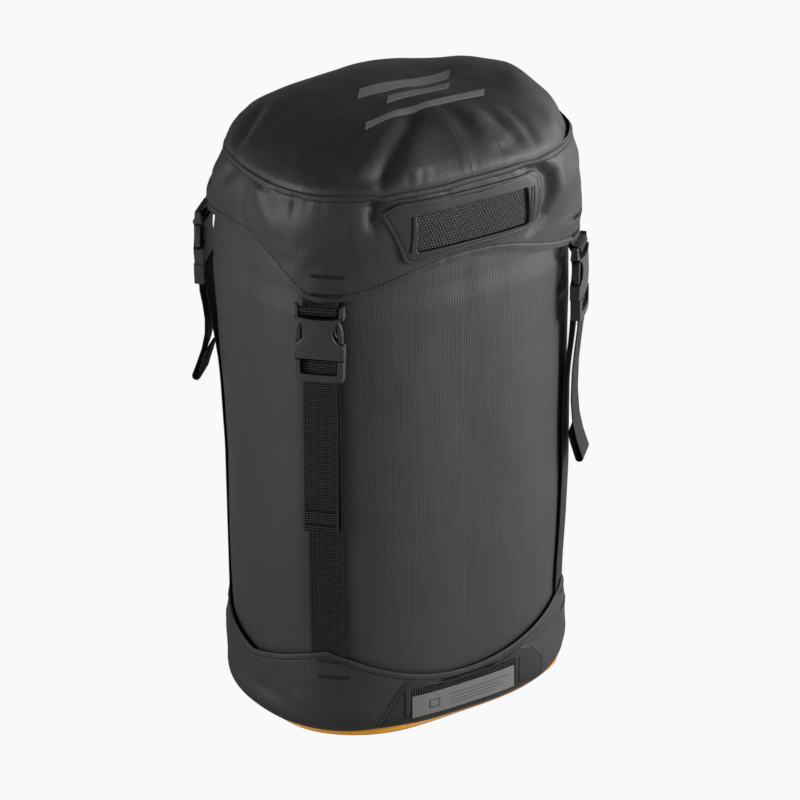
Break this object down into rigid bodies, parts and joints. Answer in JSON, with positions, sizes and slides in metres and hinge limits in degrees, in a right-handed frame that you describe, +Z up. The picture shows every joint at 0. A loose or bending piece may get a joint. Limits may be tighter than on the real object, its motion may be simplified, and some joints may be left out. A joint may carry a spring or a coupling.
{
  "type": "compression sack",
  "caption": "Oval roll-top fabric sack with a domed lid, grab handles and buckled webbing straps that squeeze it down.",
  "frame": {"origin": "middle of the flat base panel's underside, on the floor", "axes": "+Z up along the sack; the broad front with the grab handles faces -Y; +X to the right seen from the front"},
  "size_m": [0.2538, 0.198, 0.4681],
  "materials": {
    "sack_fabric": "coated ripstop nylon, satin",
    "base_fabric": "coated base fabric, amber, satin",
    "collar_fabric": "thin coated nylon",
    "patch_laminate": "laminated reinforcement, matt",
    "webbing": "woven nylon webbing",
    "thread": "bar-tack thread",
    "label_fabric": "woven grey label",
    "seam_tape": "heat-bonded seam tape",
    "stiffener": "flexible strip",
    "buckle_plastic": "moulded acetal, fine satin"
  },
  "bodies": {
    "sack": {"base_panel": "base_fabric", "base_skirt": "sack_fabric", "body_wall": "sack_fabric", "roll_top_collar": "collar_fabric", "wall_seam_tape": "seam_tape", "base_seam_tape": "seam_tape", "base_handle_patch": "patch_laminate", "base_handle_pocket": "patch_laminate", "base_handle_anchors": "webbing", "base_bartacks": "thread", "strap_fl": "webbing", "strap_fr": "webbing", "strap_rl": "webbing", "strap_rr": "webbing"},
    "roll_top": {"roll_top_deck": "collar_fabric", "roll_top_roll": "collar_fabric", "stiffener_strips": "stiffener", "closure_webbing": "webbing", "closure_socket": "buckle_plastic"},
    "lid": {"lid_top_panel": "sack_fabric", "lid_side_band": "sack_fabric", "lid_seam_welt": "patch_laminate", "lid_hem_tape": "webbing", "lid_handle_patch": "patch_laminate", "lid_handle_pocket": "patch_laminate", "lid_handle_anchors": "webbing", "lid_bartacks": "thread", "socket_loops": "webbing", "buckle_socket_fl": "buckle_plastic", "buckle_socket_fr": "buckle_plastic", "buckle_socket_rl": "buckle_plastic", "buckle_socket_rr": "buckle_plastic"},
    "lid_handle": {"lid_handle_webbing": "webbing"},
    "base_handle": {"base_handle_webbing": "webbing", "base_label": "label_fabric"},
    "closure_plug": {"closure_plug": "buckle_plastic"},
    "closure_prong_a": {"closure_prong_a": "buckle_plastic"},
    "closure_prong_b": {"closure_prong_b": "buckle_plastic"},
    "plug_fl": {"buckle_plug_fl": "buckle_plastic", "strap_wrap_fl": "webbing"},
    "tail_fl": {"strap_tail_fl": "webbing"},
    "prong_fl_a": {"prong_fl_a": "buckle_plastic"},
    "prong_fl_b": {"prong_fl_b": "buckle_plastic"},
    "plug_fr": {"buckle_plug_fr": "buckle_plastic", "strap_wrap_fr": "webbing"},
    "tail_fr": {"strap_tail_fr": "webbing"},
    "prong_fr_a": {"prong_fr_a": "buckle_plastic"},
    "prong_fr_b": {"prong_fr_b": "buckle_plastic"},
    "plug_rl": {"buckle_plug_rl": "buckle_plastic", "strap_wrap_rl": "webbing"},
    "tail_rl": {"strap_tail_rl": "webbing"},
    "prong_rl_a": {"prong_rl_a": "buckle_plastic"},
    "prong_rl_b": {"prong_rl_b": "buckle_plastic"},
    "plug_rr": {"buckle_plug_rr": "buckle_plastic", "strap_wrap_rr": "webbing"},
    "tail_rr": {"strap_tail_rr": "webbing"},
    "prong_rr_a": {"prong_rr_a": "buckle_plastic"},
    "prong_rr_b": {"prong_rr_b": "buckle_plastic"}
  },
  "joints": [
    {"name": "compress", "type": "slide", "parent": "sack", "child": "roll_top", "axis": [0, 0, -1], "range_m": [0, 0.14], "deforming": ["roll_top_collar", "strap_fl", "strap_fr", "strap_rl", "strap_rr"]},
    {"name": "lid_lift", "type": "slide", "parent": "roll_top", "child": "lid", "axis": [0, 0, 1], "range_m": [0, 0.12], "deforming": ["prong_fl_a", "prong_fl_b", "prong_fr_a", "prong_fr_b", "prong_rl_a", "prong_rl_b", "prong_rr_a", "prong_rr_b"]},
    {"name": "lid_handle_pull", "type": "slide", "parent": "lid", "child": "lid_handle", "axis": [0, -1, 0], "range_m": [0, 0.015]},
    {"name": "base_handle_pull", "type": "slide", "parent": "sack", "child": "base_handle", "axis": [0, -1, 0], "range_m": [0, 0.012]},
    {"name": "closure_release", "type": "slide", "parent": "roll_top", "child": "closure_plug", "axis": [-1, 0, 0], "range_m": [0, 0.03], "deforming": ["closure_webbing", "closure_prong_a", "closure_prong_b"]},
    {"name": "closure_prong_a_squeeze", "type": "hinge", "parent": "closure_plug", "child": "closure_prong_a", "pos_m": [-0.0057, 0.0108, 0.42625], "axis": [0, 0, -1], "range_deg": [0, 7]},
    {"name": "closure_prong_b_squeeze", "type": "hinge", "parent": "closure_plug", "child": "closure_prong_b", "pos_m": [-0.0057, -0.0108, 0.42625], "axis": [0, 0, 1], "range_deg": [0, 7]},
    {"name": "adjust_fl", "type": "slide", "parent": "sack", "child": "plug_fl", "axis": [0, 0, -1], "range_m": [0, 0.14]},
    {"name": "prong_fl_a_squeeze", "type": "hinge", "parent": "plug_fl", "child": "prong_fl_a", "pos_m": [-0.11275, -0.06398, 0.3113], "axis": [0.71, 0.7042, 0], "range_deg": [0, 7]},
    {"name": "prong_fl_b_squeeze", "type": "hinge", "parent": "plug_fl", "child": "prong_fl_b", "pos_m": [-0.09754, -0.07932, 0.3113], "axis": [-0.71, -0.7042, 0], "range_deg": [0, 7]},
    {"name": "tail_swing_fl", "type": "hinge", "parent": "plug_fl", "child": "tail_fl", "pos_m": [-0.10561, -0.07211, 0.2892], "axis": [-0.7042, 0.71, 0], "range_deg": [0, 70]},
    {"name": "adjust_fr", "type": "slide", "parent": "sack", "child": "plug_fr", "axis": [0, 0, -1], "range_m": [0, 0.14]},
    {"name": "prong_fr_a_squeeze", "type": "hinge", "parent": "plug_fr", "child": "prong_fr_a", "pos_m": [0.10322, -0.08495, 0.3113], "axis": [-0.71, 0.7042, 0], "range_deg": [0, 7]},
    {"name": "prong_fr_b_squeeze", "type": "hinge", "parent": "plug_fr", "child": "prong_fr_b", "pos_m": [0.11843, -0.06961, 0.3113], "axis": [0.71, -0.7042, 0], "range_deg": [0, 7]},
    {"name": "tail_swing_fr", "type": "hinge", "parent": "plug_fr", "child": "tail_fr", "pos_m": [0.11129, -0.07774, 0.2892], "axis": [-0.7042, -0.71, 0], "range_deg": [0, 70]},
    {"name": "adjust_rl", "type": "slide", "parent": "sack", "child": "plug_rl", "axis": [0, 0, -1], "range_m": [0, 0.14]},
    {"name": "prong_rl_a_squeeze", "type": "hinge", "parent": "plug_rl", "child": "prong_rl_a", "pos_m": [-0.10322, 0.08495, 0.3383], "axis": [0.71, -0.7042, 0], "range_deg": [0, 7]},
    {"name": "prong_rl_b_squeeze", "type": "hinge", "parent": "plug_rl", "child": "prong_rl_b", "pos_m": [-0.11843, 0.06961, 0.3383], "axis": [-0.71, 0.7042, 0], "range_deg": [0, 7]},
    {"name": "tail_swing_rl", "type": "hinge", "parent": "plug_rl", "child": "tail_rl", "pos_m": [-0.11129, 0.07774, 0.3162], "axis": [0.7042, 0.71, 0], "range_deg": [0, 70]},
    {"name": "adjust_rr", "type": "slide", "parent": "sack", "child": "plug_rr", "axis": [0, 0, -1], "range_m": [0, 0.14]},
    {"name": "prong_rr_a_squeeze", "type": "hinge", "parent": "plug_rr", "child": "prong_rr_a", "pos_m": [0.11559, 0.0668, 0.3113], "axis": [-0.71, -0.7042, 0], "range_deg": [0, 7]},
    {"name": "prong_rr_b_squeeze", "type": "hinge", "parent": "plug_rr", "child": "prong_rr_b", "pos_m": [0.10038, 0.08213, 0.3113], "axis": [0.71, 0.7042, 0], "range_deg": [0, 7]},
    {"name": "tail_swing_rr", "type": "hinge", "parent": "plug_rr", "child": "tail_rr", "pos_m": [0.10845, 0.07492, 0.2892], "axis": [0.7042, -0.71, 0], "range_deg": [0, 70]}
  ],
  "couplings": [
    {"joint": "closure_prong_b_squeeze", "follows": "closure_prong_a_squeeze", "ratio": 1},
    {"joint": "adjust_fl", "follows": "compress", "ratio": 1},
    {"joint": "prong_fl_b_squeeze", "follows": "prong_fl_a_squeeze", "ratio": 1},
    {"joint": "adjust_fr", "follows": "compress", "ratio": 1},
    {"joint": "prong_fr_b_squeeze", "follows": "prong_fr_a_squeeze", "ratio": 1},
    {"joint": "adjust_rl", "follows": "compress", "ratio": 1},
    {"joint": "prong_rl_b_squeeze", "follows": "prong_rl_a_squeeze", "ratio": 1},
    {"joint": "adjust_rr", "follows": "compress", "ratio": 1},
    {"joint": "prong_rr_b_squeeze", "follows": "prong_rr_a_squeeze", "ratio": 1}
  ]
}
